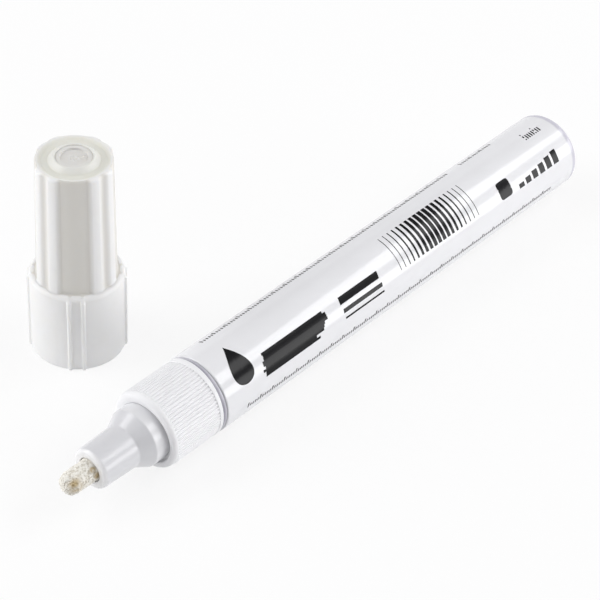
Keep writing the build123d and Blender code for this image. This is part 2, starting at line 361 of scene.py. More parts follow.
barrelShape = {
    "enamel": (0.81, 0.81, 0.83),
    "inkHeight": 0.012,  # the print's face lies on the full radius, the enamel this much under it
    "wall": 0.55,
    "tailWall": 0.9,
    "tailRound": 1.4,
    "mouthRound": 0.2,
    "mouthInnerRound": 0.15,
    "dishRadius": 5.0,
    "dishDepth": 0.2,
    "dishRound": 0.4,
    "tailShadeColour": (0.60, 0.59, 0.66),  # painted shade round the tail's rounded end, a darker enamel colour
    "tailShadeRise": (2.1, 1.5),  # the painted shade comes in between these distances from the tail's end
    "tailShadeFall": (0.4, 0.22),  # and goes out between these
    "glossFacing": (0.35, 0.66),
    "glossWeight": (1.0, 0.1),
    "sides": 240,
    "arcSteps": 12,
}


def makeEnamel():
    s = barrelShape
    finish = makeFinish(
        "whiteEnamel",
        clean=s["enamel"],
        soiled=(0.79, 0.79, 0.808),
        haze=(90.0, 0.6),
        grain=(700.0, 0.03),
        roughness=(0.24, 0.05),
        Specular_IOR_Level=0.06,
        Coat_Roughness=0.12,
        Coat_IOR=1.55,
    )
    # painted shade: a darker band on the enamel round the tail's rounded end, then plain enamel again at the
    # very end
    for limits, colour in ((s["tailShadeRise"], s["tailShadeColour"]), (s["tailShadeFall"], s["enamel"])):
        retintAlong(finish, barrelLength - limits[0], barrelLength - limits[1], colour)
    # the lacquer's gloss falls off towards a grazing look: a ramp of the facing share
    tree = finish.node_tree
    facing = addNode(tree, "ShaderNodeLayerWeight").outputs["Facing"]
    gloss = addRamp(tree, facing, s["glossFacing"], s["glossWeight"])
    feed(tree, tree.nodes["Principled BSDF"].inputs["Coat Weight"], gloss)
    return finish


# One outline, from the tail's dish over the outside and the mouth to the bore's end, carried round the axis
def makeBarrel():
    s = barrelShape
    skin = barrelRadius - s["inkHeight"]
    bore = barrelRadius - s["wall"]
    boreEnd = barrelLength - s["tailWall"]
    outline = roundedOutline(
        [
            (barrelLength - s["dishDepth"], 0.0),
            (barrelLength - s["dishDepth"], s["dishRadius"], s["dishRound"]),
            (barrelLength, s["dishRadius"] + 2 * s["dishDepth"], s["dishRound"]),
            (barrelLength, skin, s["tailRound"]),
            (0.0, skin, s["mouthRound"]),
            (0.0, bore, s["mouthInnerRound"]),
            (boreEnd, bore, s["tailRound"] - s["wall"]),
            (boreEnd, 0.0),
        ],
        s["arcSteps"],
    )
    rings = turnedRings(outline, s["sides"])
    finish = makeEnamel()
    return makeClosed("barrelShell", rings, "poles", onMarker, finish, "marker", ["barrel"], "white_enamel")


makeBarrel()


# Gasket ring in the groove between barrel and collar

gasketShape = {
    "bore": 6.94,
    "edgeRound": 0.3,
    "rearHighlightColour": (0.56, 0.555, 0.61),
    "rearHighlightShares": (0.35, 0.8),  # the painted highlight comes in between these shares of the width
    "sides": 160,
}


# A rectangle with rounded outer corners, carried round the axis
def makeGasket():
    s = gasketShape
    front, rear = station("barrel_gasket")
    outer = nodeRadius("barrel_gasket")
    outline = roundedOutline(
        [
            (front, s["bore"]),
            (front, outer, s["edgeRound"]),
            (rear, outer, s["edgeRound"]),
            (rear, s["bore"]),
        ],
        closed=True,
    )
    finish = makeFinish(
        "greySeal",
        clean=(0.28, 0.272, 0.33),
        soiled=(0.24, 0.235, 0.285),
        haze=(400.0, 0.6),
        grain=(2500.0, 0.1),
        roughness=(0.3, 0.12),
        Specular_IOR_Level=0.7,
    )
    # painted highlight: the ring is lighter towards its rear edge, by the barrel
    start, end = front + (rear - front) * np.array(s["rearHighlightShares"])
    retintAlong(finish, start, end, s["rearHighlightColour"])
    rings = turnedRings(outline, s["sides"])
    return makeClosed("gasketRing", rings, "loop", onMarker, finish, "marker", ["barrel_gasket"], "grey_seal")


makeGasket()


# Grip collar: ribbed ring with a plain front rim, a rear flange and a spigot in the barrel

collarShape = {
    "ribCount": 72,
    "sidesPerRib": 10,
    "ribCrest": 7.4,
    "ribRoot": 7.2,
    "crestShare": 0.34,
    "rootShare": 0.3,
    "ribRunIn": 0.3,
    "runInShares": (0.15, 0.5, 1.0),
    "ribRows": 9,
    "rimRadius": 7.3,
    "rimWidth": 0.94,
    "rimRound": 0.85,
    "flangeWidth": 0.84,
    "flangeRound": 0.15,
    "flangeSkew": 0.55,  # the flange's rear edge leans over the gasket on the side away from the recess
    "rimBoreRound": 0.3,
    "noseGapRadius": 5.7,
    "noseGapShift": 0.33,  # the recess is a little off centre, towards this angle
    "noseGapAngle": np.radians(192.0),
    "noseGapDepth": 0.75,
    "noseFloorRound": 0.1,
    "landRadius": 5.52,
    "landLength": 4.0,
    "plugBore": 6.02,
    "spigotRadius": 6.92,
    "spigotLead": 0.4,
}


# One outline, from the recess over the rim, ribs and flange to the bore, carried round the axis; the ribs
# change its radius with the angle.
def makeCollar():
    s = collarShape
    front, spigotEnd = station("grip_collar")
    gasketFront = station("barrel_gasket")[0]
    flangeFront = gasketFront - s["flangeWidth"]
    ribFront = front + s["rimWidth"]
    gapFloor = front + s["noseGapDepth"]
    footFront = gapFloor + s["landLength"]
    flangeRadius = nodeRadius("grip_collar")
    nose = roundedOutline(
        [
            (gapFloor, s["landRadius"]),
            (gapFloor, s["noseGapRadius"], s["noseFloorRound"]),
            (front, s["noseGapRadius"], s["rimBoreRound"]),
            (front, s["rimRadius"], s["rimRound"]),
            (ribFront, s["rimRadius"]),
        ]
    )
    ribStations = ribFront + np.array(s["runInShares"]) * s["ribRunIn"]
    ribStations = np.concatenate([ribStations, np.linspace(ribStations[-1], flangeFront, s["ribRows"])[1:]])
    ribs = straightRun(ribStations, s["ribRoot"])
    rear = roundedOutline(
        [
            (flangeFront, s["ribRoot"]),
            (flangeFront, flangeRadius, s["flangeRound"]),
            (gasketFront, flangeRadius, s["flangeRound"]),
            (gasketFront, s["spigotRadius"]),
            (spigotEnd - s["spigotLead"], s["spigotRadius"]),
            (spigotEnd, s["spigotRadius"] - s["spigotLead"]),
            (spigotEnd, s["plugBore"]),
            (footFront, s["plugBore"]),
            (footFront, s["landRadius"]),
        ]
    )
    outline = np.concatenate([nose, ribs, rear[1:]])
    # rib share of each ring: none on rim and flange, full between; a rib's height over its pitch is a flat
    # crest, a flat root and an S-shaped flank between them
    share = np.zeros(len(outline))
    share[len(nose) : len(nose) + len(ribs)] = smoothStep(ribStations, ribFront, ribFront + s["ribRunIn"])
    rings = turnedRings(outline, s["ribCount"] * s["sidesPerRib"])
    angle = np.arctan2(rings[0, :, 2], rings[0, :, 1])
    fromCrest = np.abs(wrapped(angle * s["ribCount"] / (2 * np.pi), 1.0))
    tooth = 1 - smoothStep(fromCrest, s["crestShare"] / 2, 0.5 - s["rootShare"] / 2)
    ribRadius = s["ribRoot"] + (s["ribCrest"] - s["ribRoot"]) * tooth
    plain = np.where(share > 0, s["rimRadius"], outline[:, 1])
    radius = plain[:, None] + share[:, None] * (ribRadius[None] - plain[:, None])
    rings[..., 1], rings[..., 2] = radius * np.cos(angle), radius * np.sin(angle)
    # the recess moves aside in full, the rim's face less and less towards its edge
    bore = np.arange(1, len(nose))
    aside = (s["rimRadius"] - nose[1:, 1]) / (s["rimRadius"] - s["noseGapRadius"])
    shift = np.clip(aside, 0.0, 1.0) * s["noseGapShift"]
    rings[bore, :, 1] += shift[:, None] * np.cos(s["noseGapAngle"])
    rings[bore, :, 2] += shift[:, None] * np.sin(s["noseGapAngle"])
    # the flange's rear edge leans by a cosine round the collar
    onEdge = (outline[:, 1] > s["spigotRadius"]) & (outline[:, 0] > gasketFront - s["flangeWidth"] / 2)
    lean = s["flangeSkew"] * (1 - np.cos(angle - s["noseGapAngle"])) / 2
    rings[..., 0] += onEdge[:, None] * lean
    finish = makeFinish(
        "whiteCollar",
        clean=(0.86, 0.86, 0.875),
        soiled=(0.80, 0.80, 0.815),
        haze=(220.0, 0.35),
        grain=(2600.0, 0.03),
        roughness=(0.46, 0.12),
    )
    return makeClosed(
        "gripCollar", rings, "loop", onMarker, finish, "marker", ["grip_collar"], "white_collar"
    )


makeCollar()


# Nozzle: base land, cone and slim tube round the nib

nozzleShape = {
    "tubeRadius": 4.05,
    "tipRadius": 3.85,
    "frontRound": 0.75,
    "tubeLength": 7.85,
    "coneLength": 2.65,
    "rootRound": 0.8,
    "baseRadius": 5.5,
    "baseRound": 0.5,
    "boreRadius": 2.32,
    "boreRound": 0.15,
    "chamberRadius": 4.2,
    "footLength": 1.2,
    "guideLap": 0.6,
    "funnelLap": 0.45,
    "landHighlightColour": (0.76, 0.76, 0.78),
    "lipHighlightColour": (0.85, 0.85, 0.86),
    "sides": 200,
    "arcSteps": 10,
}


# A closed outline of the outside and the bore, carried round the axis
def makeNozzle():
    s = nozzleShape
    front, rear = station("nozzle")
    coneFront = front + s["tubeLength"]
    baseFront = coneFront + s["coneLength"]
    footFront = rear - s["footLength"]
    footRadius = nodeRadius("nozzle")
    outline = roundedOutline(
        [
            (front, s["boreRadius"], s["boreRound"]),
            (front, s["tipRadius"], s["frontRound"]),
            (coneFront, s["tubeRadius"], s["rootRound"]),
            (baseFront, s["baseRadius"], s["baseRound"]),
            (footFront, s["baseRadius"]),
            (footFront, footRadius),
            (rear, footRadius),
            (rear, s["chamberRadius"]),
            (baseFront + s["funnelLap"], s["chamberRadius"]),
            (coneFront + s["guideLap"], s["boreRadius"]),
        ],
        s["arcSteps"],
        closed=True,
    )
    finish = makeFinish(
        "greyNozzle",
        clean=(0.675, 0.675, 0.698),
        soiled=(0.645, 0.645, 0.668),
        haze=(260.0, 0.3),
        grain=(1800.0, 0.004),
        roughness=(0.3, 0.03),
        Specular_IOR_Level=0.6,
        Coat_Weight=0.5,
        Coat_Roughness=0.16,
    )
    # painted highlight: the land behind the cone is whiter, and so is the lip round the nib
    retintAlong(finish, baseFront - s["baseRound"] / 2, baseFront + s["baseRound"] / 2, s["landHighlightColour"])
    retintAlong(finish, front + s["frontRound"], front + s["frontRound"] / 3, s["lipHighlightColour"])
    rings = turnedRings(outline, s["sides"])
    return makeClosed("nozzleBody", rings, "loop", onMarker, finish, "marker", ["nozzle"], "grey_nozzle")


makeNozzle()


# Nib: bullet of pressed felt, pitted where it stands out of the nozzle

nibShape = {
    "round": 2.05,
    "arcSteps": 60,
    "bareLength": 6.6,
    "bareRows": 130,
    "hiddenRows": 6,
    "sides": 260,
    "lumpCell": 1.0,
    "lumpDepth": 0.12,
    "lumpSeed": 3.0,
    "crumbCell": 0.5,
    "crumbDepth": 0.14,
    "crumbSeed": 11.0,
    "pitCell": 0.27,
    "pitDepth": 0.17,
    "pitSeed": 23.0,
    "pitEdge": (0.25, 0.95),
    "pitShadeTone": 0.6,  # how far a pit takes on its painted shade
    "pitShadeColour": (0.50, 0.45, 0.36),
    # one brown serves the real stains and the painted shade
    "stainAndShadeColour": (0.43, 0.29, 0.085),
    "stainAndShadeEdge": (-0.1, 0.6),
    "stainAndShadeFall": 1.5,
    # real stains and painted shade, on the nib's underside and beside the nozzle's rim, in one list
    "stainsAndShade": [  # along the skin from the tip, degrees round, half length, half width, strength
        (2.5, 141.0, 1.25, 0.95, 0.75),
        (2.6, 172.0, 1.5, 1.0, 0.4),
        (6.9, 134.0, 0.6, 0.55, 0.9),
        (7.3, 172.0, 0.6, 0.9, 0.8),
    ],
}


def makeFelt():
    s = nibShape
    finish = makeFinish(
        "felt",
        clean=(0.88, 0.86, 0.80),
        soiled=(0.74, 0.69, 0.60),
        haze=(700.0, 0.6),
        grain=(4200.0, 0.7),
        roughness=(0.9, 0.15),
        bumpDepth=0.08,
        Specular_IOR_Level=0.2,
        Sheen_Weight=0.3,
    )
    # painted shade in the pits, and stains mixed with painted shade, are kept as attributes of the mesh
    # painted shade: pits are darker by their depth
    retintMarked(finish, "pitDepth", s["pitShadeColour"])
    retintMarked(finish, "stainAndShade", s["stainAndShadeColour"])
    return finish


# Each stain, and each patch of painted shade, is a bell of distance, along the skin and round it, broken up
# by the felt's own crumbs.
def stainAndShadeShare(steps, angle, radius, crumb):
    s = nibShape
    share = np.zeros(crumb.shape)
    broken = smoothStep(crumb, *s["stainAndShadeEdge"])
    for along, degrees, halfLength, halfWidth, strength in s["stainsAndShade"]:
        aside = radius * wrapped(angle - np.radians(degrees), 2 * np.pi)
        far = ((steps[:, None] - along) / halfLength) ** 2 + (aside[None] / halfWidth) ** 2
        share = np.maximum(share, strength * np.exp(-(far ** s["stainAndShadeFall"])) * broken)
    return share


# A bullet's outline carried round the axis, and sunk along its own normal: the depth is three sizes of value
# noise added, the smallest only as pits, fading out where the nib enters the nozzle.
def makeNib():
    s = nibShape
    tip, rear = station("nib")
    radius = nodeRadius("nib")
    corners = [(tip, 0.0), (tip, radius, s["round"]), (rear, radius), (rear, 0.0)]
    outline = roundedOutline(corners, s["arcSteps"])
    walk = np.concatenate([[0.0], np.cumsum(np.hypot(*np.diff(outline, axis=0).T))])
    bare = np.linspace(0.0, s["bareLength"] + s["round"], s["bareRows"])
    steps = np.concatenate([bare, np.linspace(bare[-1], walk[-2], s["hiddenRows"])[1:], walk[-1:]])
    outline = np.stack([np.interp(steps, walk, column) for column in outline.T], axis=-1)
    rings = turnedRings(outline, s["sides"])
    slope = np.gradient(outline, axis=0)
    inward = np.stack([slope[:, 1], -slope[:, 0]], axis=-1)
    inward /= np.linalg.norm(inward, axis=1, keepdims=True)
    lump = latticeNoise(rings, s["lumpCell"], s["lumpSeed"])
    crumb = latticeNoise(rings, s["crumbCell"], s["crumbSeed"])
    pit = smoothStep(latticeNoise(rings, s["pitCell"], s["pitSeed"]), *s["pitEdge"])
    fade = 1 - smoothStep(steps, s["bareLength"], s["bareLength"] + s["round"])[:, None]
    depth = fade * (lump * s["lumpDepth"] + crumb * s["crumbDepth"] + pit * s["pitDepth"])
    angle = fullTurn(s["sides"])
    radii = np.maximum(outline[:, 1, None] + inward[:, 1, None] * depth, 0.0)
    radii[0], radii[-1] = 0.0, 0.0
    rings[..., 0] += inward[:, 0, None] * depth
    rings[0, :, 0] = rings[0, :, 0].mean()
    rings[..., 1], rings[..., 2] = radii * np.cos(angle), radii * np.sin(angle)
    piece = makeClosed(
        "feltNib", rings, "poles", onMarker, makeFelt(), "nib_unit", ["nib"], "felt", sharpAngle=180.0
    )
    stainAndShade = stainAndShadeShare(steps, angle, radius, crumb)
    for label, share in (("pitDepth", s["pitShadeTone"] * fade * pit), ("stainAndShade", stainAndShade)):
        keepShare(piece, label, np.concatenate([share[1:-1].ravel(), share[[0, -1], 0]]))
    return piece


makeNib()


# Cap shell: skirt with rib pairs, ledge, fluted crown and a ring channel in the top

capShape = {
    "turn": np.radians(-135.7),
    "sides": 720,
    "skirtRadius": 8.52,
    "skirtRound": 0.9,
    "footRound": 0.25,
    "ledgeHeight": 16.3,
    "crownFillet": 0.35,
    "ribPairs": 4,
    "ribHalfAngle": 8.2,
    "ribWidth": 0.75,
    "ribFlank": 0.22,
    "ribHeight": 0.38,
    "ribHead": 16.2,
    "ribBevel": 0.8,
    "crownBase": 7.65,
    "crownTop": 7.25,
    "panelDepth": 0.45,
    "panelEdge": (18.5, 26.0),
    "grooveDepth": 0.36,
    "grooveEdge": (35.0, 44.5),
    "ridgeCrown": 0.02,
    "topRound": 0.55,
    "topFlat": 6.55,
    "bossRise": 0.5,
    "bossRadius": 4.1,
    "bossSlope": 0.5,
    "bossRound": 0.2,
    "channelOuter": 6.0,
    "channelDepth": 0.35,
    "channelSlope": 0.35,
    "channelRound": 0.3,
    "studHole": 3.25,
    "skirtBore": 7.47,
    "skirtBoreDepth": 10.8,
    "crownBoreBase": 6.15,
    "crownBoreTop": 5.75,
    "crownBoreStart": 15.3,
    "ceiling": 38.9,
    "mouthRound": 0.2,
    "ceilingRound": 0.4,
    "holeLap": 0.2,
    "arcStart": 0.1,  # radians; the first ring of the top edge and of the crown's fillet
    "edgeRows": 12,
    "crownRows": 14,
    "filletRows": 7,
    "shoulderRows": 15,
    "skirtRows": 12,
    "tintColour": (0.77, 0.765, 0.70),
    "tintDepth": 1.6,
    "tintEdge": (0.7, -0.2),  # past the channel's outer edge
    "bossTint": 0.65,
    "bossTintEdge": (0.25, 1.0),  # shares of the boss's slope
    "thinAndShadeColour": (0.71, 0.692, 0.652),
}


def fromPanel(angle):
    return np.abs(wrapped(angle - capShape["turn"], 2 * np.pi / capShape["ribPairs"]))


# Crown outline: the ridge's radius less the panel's depth near a panel's middle and the groove's depth half
# way between two panels, with an S-shaped flank at each edge and the ridge's back slightly arched.
def crownDepth(angle):
    s = capShape
    degrees = np.degrees(fromPanel(angle))
    panel = s["panelDepth"] * (1 - smoothStep(degrees, *s["panelEdge"]))
    groove = s["grooveDepth"] * smoothStep(degrees, *s["grooveEdge"])
    middle = (s["panelEdge"][1] + s["grooveEdge"][0]) / 2
    arch = np.clip((degrees - middle) / (s["grooveEdge"][0] - middle), -1.0, 1.0) ** 2
    return panel + groove + s["ridgeCrown"] * arch


# Rib outline round the skirt: a flat-topped bump at each side of every panel's middle.
def skirtRib(angle):
    s = capShape
    offset = np.abs(fromPanel(angle) - np.radians(s["ribHalfAngle"])) * s["skirtRadius"]
    return 1 - smoothStep(offset, s["ribWidth"] / 2 - s["ribFlank"], s["ribWidth"] / 2 + s["ribFlank"] / 2)


def makeCapFinish():
    s = capShape
    material = makeFinish(
        "whiteCap",
        clean=(0.84, 0.838, 0.834),
        soiled=(0.80, 0.793, 0.775),
        haze=(170.0, 0.4),
        grain=(1500.0, 0.05),
        roughness=(0.38, 0.1),
        Subsurface_Weight=0.25,
        Subsurface_Radius=(1.0, 0.9, 0.75),
        Subsurface_Scale=1.2 * mm,
    )
    # ivory tint in the ring channel: height and distance from the cap's axis give the mask
    tree = material.node_tree
    place = addNode(tree, "ShaderNodeTexCoord").outputs["Object"]
    middle = [("Vector", place), ("Location", (-capX * mm, -capY * mm, 0.0))]
    centred = addNode(tree, "ShaderNodeMapping", middle).outputs["Vector"]
    height = addNode(tree, "ShaderNodeSeparateXYZ", [("Vector", centred)]).outputs["Z"]
    flat = addNode(tree, "ShaderNodeVectorMath", [(0, centred), (1, (1.0, 1.0, 0.0))], operation="MULTIPLY")
    length = addNode(tree, "ShaderNodeVectorMath", [(0, flat.outputs["Vector"])], operation="LENGTH")
    out = length.outputs["Value"]
    rim = capHeight - s["bossRise"]
    high = addRamp(tree, height, ((rim - s["tintDepth"]) * mm, (rim - s["channelDepth"]) * mm))
    inRing = addRamp(tree, out, (s["channelOuter"] + np.array(s["tintEdge"])) * mm)
    slope = s["bossSlope"] * np.array(s["bossTintEdge"])
    offBoss = addRamp(tree, out, (s["bossRadius"] + slope) * mm, (s["bossTint"], 1.0))
    mask = addMath(tree, "MULTIPLY", high, addMath(tree, "MULTIPLY", inRing, offBoss))
    retint(material, mask, s["tintColour"])
    # panels are thin and a little darker, and the grooves are darker as painted shade in their hollows: their
    # share is kept as an attribute of the mesh
    retintMarked(material, "thinAndShadeShare", s["thinAndShadeColour"])
    return material


# Rings from the stud hole over the top, crown and skirt to the bore: a ring's radius is a function of its
# height and of the angle round the cap's axis.
def makeCapShell():
    s = capShape
    angle = fullTurn(s["sides"])
    top = capHeight - s["bossRise"]  # the rim; the boss round the stud stands above it
    channelFloor = top - s["channelDepth"]
    # plain rings: the top inwards of the rounded edge, from the stud hole outwards
    lid = roundedOutline(
        [
            (s["ceiling"], s["studHole"]),
            (capHeight, s["studHole"], s["bossRound"]),
            (capHeight, s["bossRadius"] - s["bossSlope"], s["bossRound"]),
            (channelFloor, s["bossRadius"] + s["bossSlope"], s["bossRound"]),
            (channelFloor, s["channelOuter"] - s["channelSlope"], s["channelRound"]),
            (top, s["channelOuter"] + s["channelSlope"], s["channelRound"]),
            (top, s["topFlat"]),
        ]
    )
    # crown rings: the top edge is a quarter ellipse from the flat to the fluted wall, the foot a fillet
    ledgeDrop = top - s["ledgeHeight"]
    edgeTurn = np.linspace(s["arcStart"], np.pi / 2, s["edgeRows"])
    filletTurn = np.linspace(s["arcStart"], np.pi / 2, s["filletRows"])
    crownDrop = np.concatenate(
        [
            s["topRound"] * (1 - np.cos(edgeTurn)),
            np.linspace(s["topRound"], ledgeDrop - s["crownFillet"], s["crownRows"])[1:],
            ledgeDrop - s["crownFillet"] * (1 - np.sin(filletTurn)),
        ]
    )
    crownHeight = top - crownDrop
    ridge = np.interp(crownHeight, [s["ledgeHeight"], top], [s["crownBase"], s["crownTop"]])
    wall = ridge[:, None] - crownDepth(angle)[None]
    edge = np.sqrt(1 - np.clip(1 - crownDrop / s["topRound"], 0.0, 1.0) ** 2)[:, None]
    fillet = np.clip(1 - (crownHeight - s["ledgeHeight"]) / s["crownFillet"], 0.0, 1.0)[:, None]
    flare = s["crownFillet"] * (1 - np.sqrt(1 - fillet**2))
    crownRadius = s["topFlat"] + (wall - s["topFlat"]) * edge + flare
    # skirt rings: ledge, rounded shoulder, wall with the ribs on it, rounded foot
    skirt = roundedOutline(
        [
            (s["ledgeHeight"], s["crownBase"]),
            (s["ledgeHeight"], s["skirtRadius"], s["skirtRound"]),
            (0.0, s["skirtRadius"], s["footRound"]),
            (0.0, s["skirtBore"]),
        ],
        s["shoulderRows"],
    )[1:-1]
    shoulder, foot = np.split(skirt, [s["shoulderRows"]])
    wallRows = np.linspace(s["ledgeHeight"] - s["skirtRound"], s["footRound"], s["skirtRows"])[1:-1]
    skirt = np.concatenate([shoulder, straightRun(wallRows, s["skirtRadius"]), foot])
    # a rib's back is level with its foot up to the bevel, which slants down into the shoulder
    slant = np.clip((skirt[:, 0] - s["ribHead"]) / s["ribBevel"] + 1, 0.0, 1.0)
    ribBack = s["skirtRadius"] + s["ribHeight"] * (1 - 2 * slant)
    proud = np.maximum(ribBack - skirt[:, 1], 0.0)
    proud[skirt[:, 0] < s["footRound"]] = s["ribHeight"]
    skirtRadius = skirt[:, 1, None] + proud[:, None] * skirtRib(angle)[None]
    inside = roundedOutline(
        [
            (0.0, s["skirtBore"], s["mouthRound"]),
            (s["skirtBoreDepth"], s["skirtBore"]),
            (s["crownBoreStart"], s["crownBoreBase"]),
            (s["ceiling"], s["crownBoreTop"], s["ceilingRound"]),
            (s["ceiling"], s["studHole"] + s["holeLap"]),
        ]
    )
    heights = np.concatenate([lid[:, 0], crownHeight, skirt[:, 0], inside[:, 0]])
    radii = np.concatenate(
        [
            np.repeat(lid[:, 1, None], s["sides"], axis=1),
            crownRadius,
            skirtRadius,
            np.repeat(inside[:, 1, None], s["sides"], axis=1),
        ]
    )
    rings = spun(heights[:, None], radii, angle)
    piece = makeClosed("capShell", rings, "loop", onCap, makeCapFinish(), "cap", ["cap_shell"], "white_cap")
    # darker tone of the thin panels, and painted shade in the grooves, by the depth of the crown's outline
    share = np.zeros(rings.shape[:2])
    thin = np.clip(crownDepth(angle) / s["panelDepth"], 0.0, 1.0)
    share[len(lid) : len(lid) + len(crownHeight)] = thin
    keepShare(piece, "thinAndShadeShare", share.ravel())
    return piece


makeCapShell()


# Cap liner: inner cup that seals on the nozzle's base, with a stud showing in the cap's top

linerShape = {
    "mouthRadius": 6.65,
    "mouthLength": 1.5,
    "slopeLength": 2.0,
    "slopeRadius": 5.775,
    "topRadius": 5.0,
    "wall": 0.75,
    "sealRadius": 5.53,
    "sealLength": 3.0,
    "floor": 37.9,
    "studRadius": 3.24,
    "dishRadius": 2.4,
    "dishDepth": 0.4,
    "gateRadius": 0.6,
    "gateDepth": 0.12,
    "gateSlope": 0.15,
    "gateRound": 0.08,
    "dishRound": 0.12,
    "dishSlope": 0.1,
    "dishEdgeRound": 0.1,
    "studRound": 0.2,
    "topRound": 0.3,
    "mouthRound": 0.15,
    "floorRound": 0.5,
    "markRings": 26,
    "clearRings": (4, 2),  # left out beside the gate and beside the dish's edge
    "marks": [  # out, degrees, radius, height
        (0.95, -62.0, 0.2, 0.28),
        (1.7, -38.0, 0.28, 0.32),
        (0.55, -150.0, 0.2, 0.26),
        (0.55, -5.0, 0.2, 0.24),
    ],
    "sides": 200,
}


# One outline, from the stud's gate over the outside and the mouth to the cup's floor, carried round the axis
def makeLiner():
    s = linerShape
    low, high = nodeBox("cap_liner")
    mouth, studTop = low[2], high[2]
    ceiling = capShape["ceiling"]
    dish = studTop - s["dishDepth"]
    boreBase = s["slopeRadius"] - s["wall"]
    first, last = s["clearRings"]
    markRadii = np.linspace(s["gateRadius"], s["dishRadius"], s["markRings"])[first:-last]
    outline = roundedOutline(
        [
            (dish - s["gateDepth"], 0.0),
            (dish - s["gateDepth"], s["gateRadius"], s["gateRound"]),
            (dish, s["gateRadius"] + s["gateSlope"], s["gateRound"]),
            *[(dish, radius) for radius in markRadii],
            (dish, s["dishRadius"], s["dishRound"]),
            (studTop, s["dishRadius"] + s["dishSlope"], s["dishEdgeRound"]),
            (studTop, s["studRadius"], s["studRound"]),
            (ceiling, s["studRadius"]),
            (ceiling, s["topRadius"], s["topRound"]),
            (mouth + s["mouthLength"] + s["slopeLength"], s["slopeRadius"]),
            (mouth + s["mouthLength"], s["mouthRadius"]),
            (mouth, s["mouthRadius"], s["mouthRound"]),
            (mouth, s["sealRadius"], s["mouthRound"]),
            (mouth + s["sealLength"], s["sealRadius"]),
            (mouth + s["sealLength"] + s["sealRadius"] - boreBase, boreBase),
            (s["floor"], s["topRadius"] - s["wall"], s["floorRound"]),
            (s["floor"], 0.0),
        ]
    )
    finish = makeFinish(
        "ivoryLiner",
        clean=(0.755, 0.745, 0.72),
        soiled=(0.70, 0.68, 0.635),
        haze=(300.0, 0.5),
        grain=(1600.0, 0.06),
        roughness=(0.3, 0.1),
        Subsurface_Weight=0.2,
        Subsurface_Radius=(1.0, 0.9, 0.7),
        Subsurface_Scale=1.0 * mm,
    )
    rings = turnedRings(outline, s["sides"])
    # moulding marks in the dish are bells of distance from their middles
    upper = rings[:, :, 0] > dish - 2 * s["gateDepth"]
    for out, degrees, size, height in s["marks"]:
        middle = out * np.array([np.cos(np.radians(degrees)), np.sin(np.radians(degrees))])
        far = np.linalg.norm(rings[..., 1:] - middle, axis=-1) / size
        rings[..., 0] += upper * height * np.exp(-(far**2))
    return makeClosed("capLiner", rings, "poles", onCap, finish, "cap", ["cap_liner"], "ivory_liner")


makeLiner()


# Valve spring: round wire on a helix between the pin's head and the cage's floor

springShape = {
    "wireRadius": 0.25,
    "turns": 6,
    "stepsPerTurn": 48,
    "wireSides": 14,
    "endGap": 0.05,
    "travel": 2.0,
}


# The wire's middle line turns about the marker's axis while it runs along it; a circle of the wire's radius
# is carried along it, square to its direction.
def makeSpring():
    s = springShape
    front, rear = station("valve_spring")
    coilRadius = nodeRadius("valve_spring") - s["wireRadius"]
    inset = s["wireRadius"]
    share = np.linspace(0.0, 1.0, s["turns"] * s["stepsPerTurn"] + 1)
    turn = 2 * np.pi * s["turns"] * share
    along = front + inset + (rear - front - 2 * inset) * share
    middle = spun(along, coilRadius, turn)
    heading = np.gradient(middle, axis=0)
    heading /= np.linalg.norm(heading, axis=1, keepdims=True)
    outward = spun(0.0, 1.0, turn)
    sideways = np.cross(heading, outward)
    around = fullTurn(s["wireSides"])[None, :, None]
    spokes = np.cos(around) * outward[:, None] + np.sin(around) * sideways[:, None]
    rings = middle[:, None] + s["wireRadius"] * spokes
    finish = makeFinish(
        "springWire",
        clean=(0.62, 0.62, 0.63),
        soiled=(0.45, 0.44, 0.43),
        haze=(900.0, 0.5),
        grain=(5000.0, 0.1),
        roughness=(0.28, 0.15),
        Metallic=1.0,
    )
    piece = makeClosed(
        "springCoil", rings, "tube", onMarker, finish, "marker", ["valve_spring"], "spring_wire"
    )
    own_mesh(piece)
    return piece


makeSpring()


# Inner pieces keep their solids and get their finishes


def coatNode(node, material):
    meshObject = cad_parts[node]
    meshObject.data.materials.clear()
    meshObject.data.materials.append(material)
    print("finish on", node, material.name)


valvePlastic = makeFinish(
    "valvePlastic",
    clean=(0.74, 0.77, 0.80),
    soiled=(0.66, 0.69, 0.72),
    haze=(260.0, 0.5),
    grain=(1700.0, 0.08),
    roughness=(0.4, 0.12),
)
softSeal = makeFinish(
    "softSeal",
    clean=(0.11, 0.11, 0.12),
    soiled=(0.17, 0.17, 0.18),
    haze=(500.0, 0.6),
    grain=(3000.0, 0.3),
    roughness=(0.7, 0.2),
)
ballSteel = makeFinish(
    "ballSteel",
    clean=(0.66, 0.66, 0.67),
    soiled=(0.5, 0.5, 0.51),
    haze=(420.0, 0.4),
    grain=(3500.0, 0.06),
    roughness=(0.16, 0.12),
    Metallic=1.0,
)
for valveNode in ("valve_seat", "valve_pin", "valve_cage"):
    coatNode(valveNode, valvePlastic)
coatNode("pin_seal", softSeal)
coatNode("mixing_ball", ballSteel)


# Print on the barrel: plain marks of dark ink, laid on the enamel

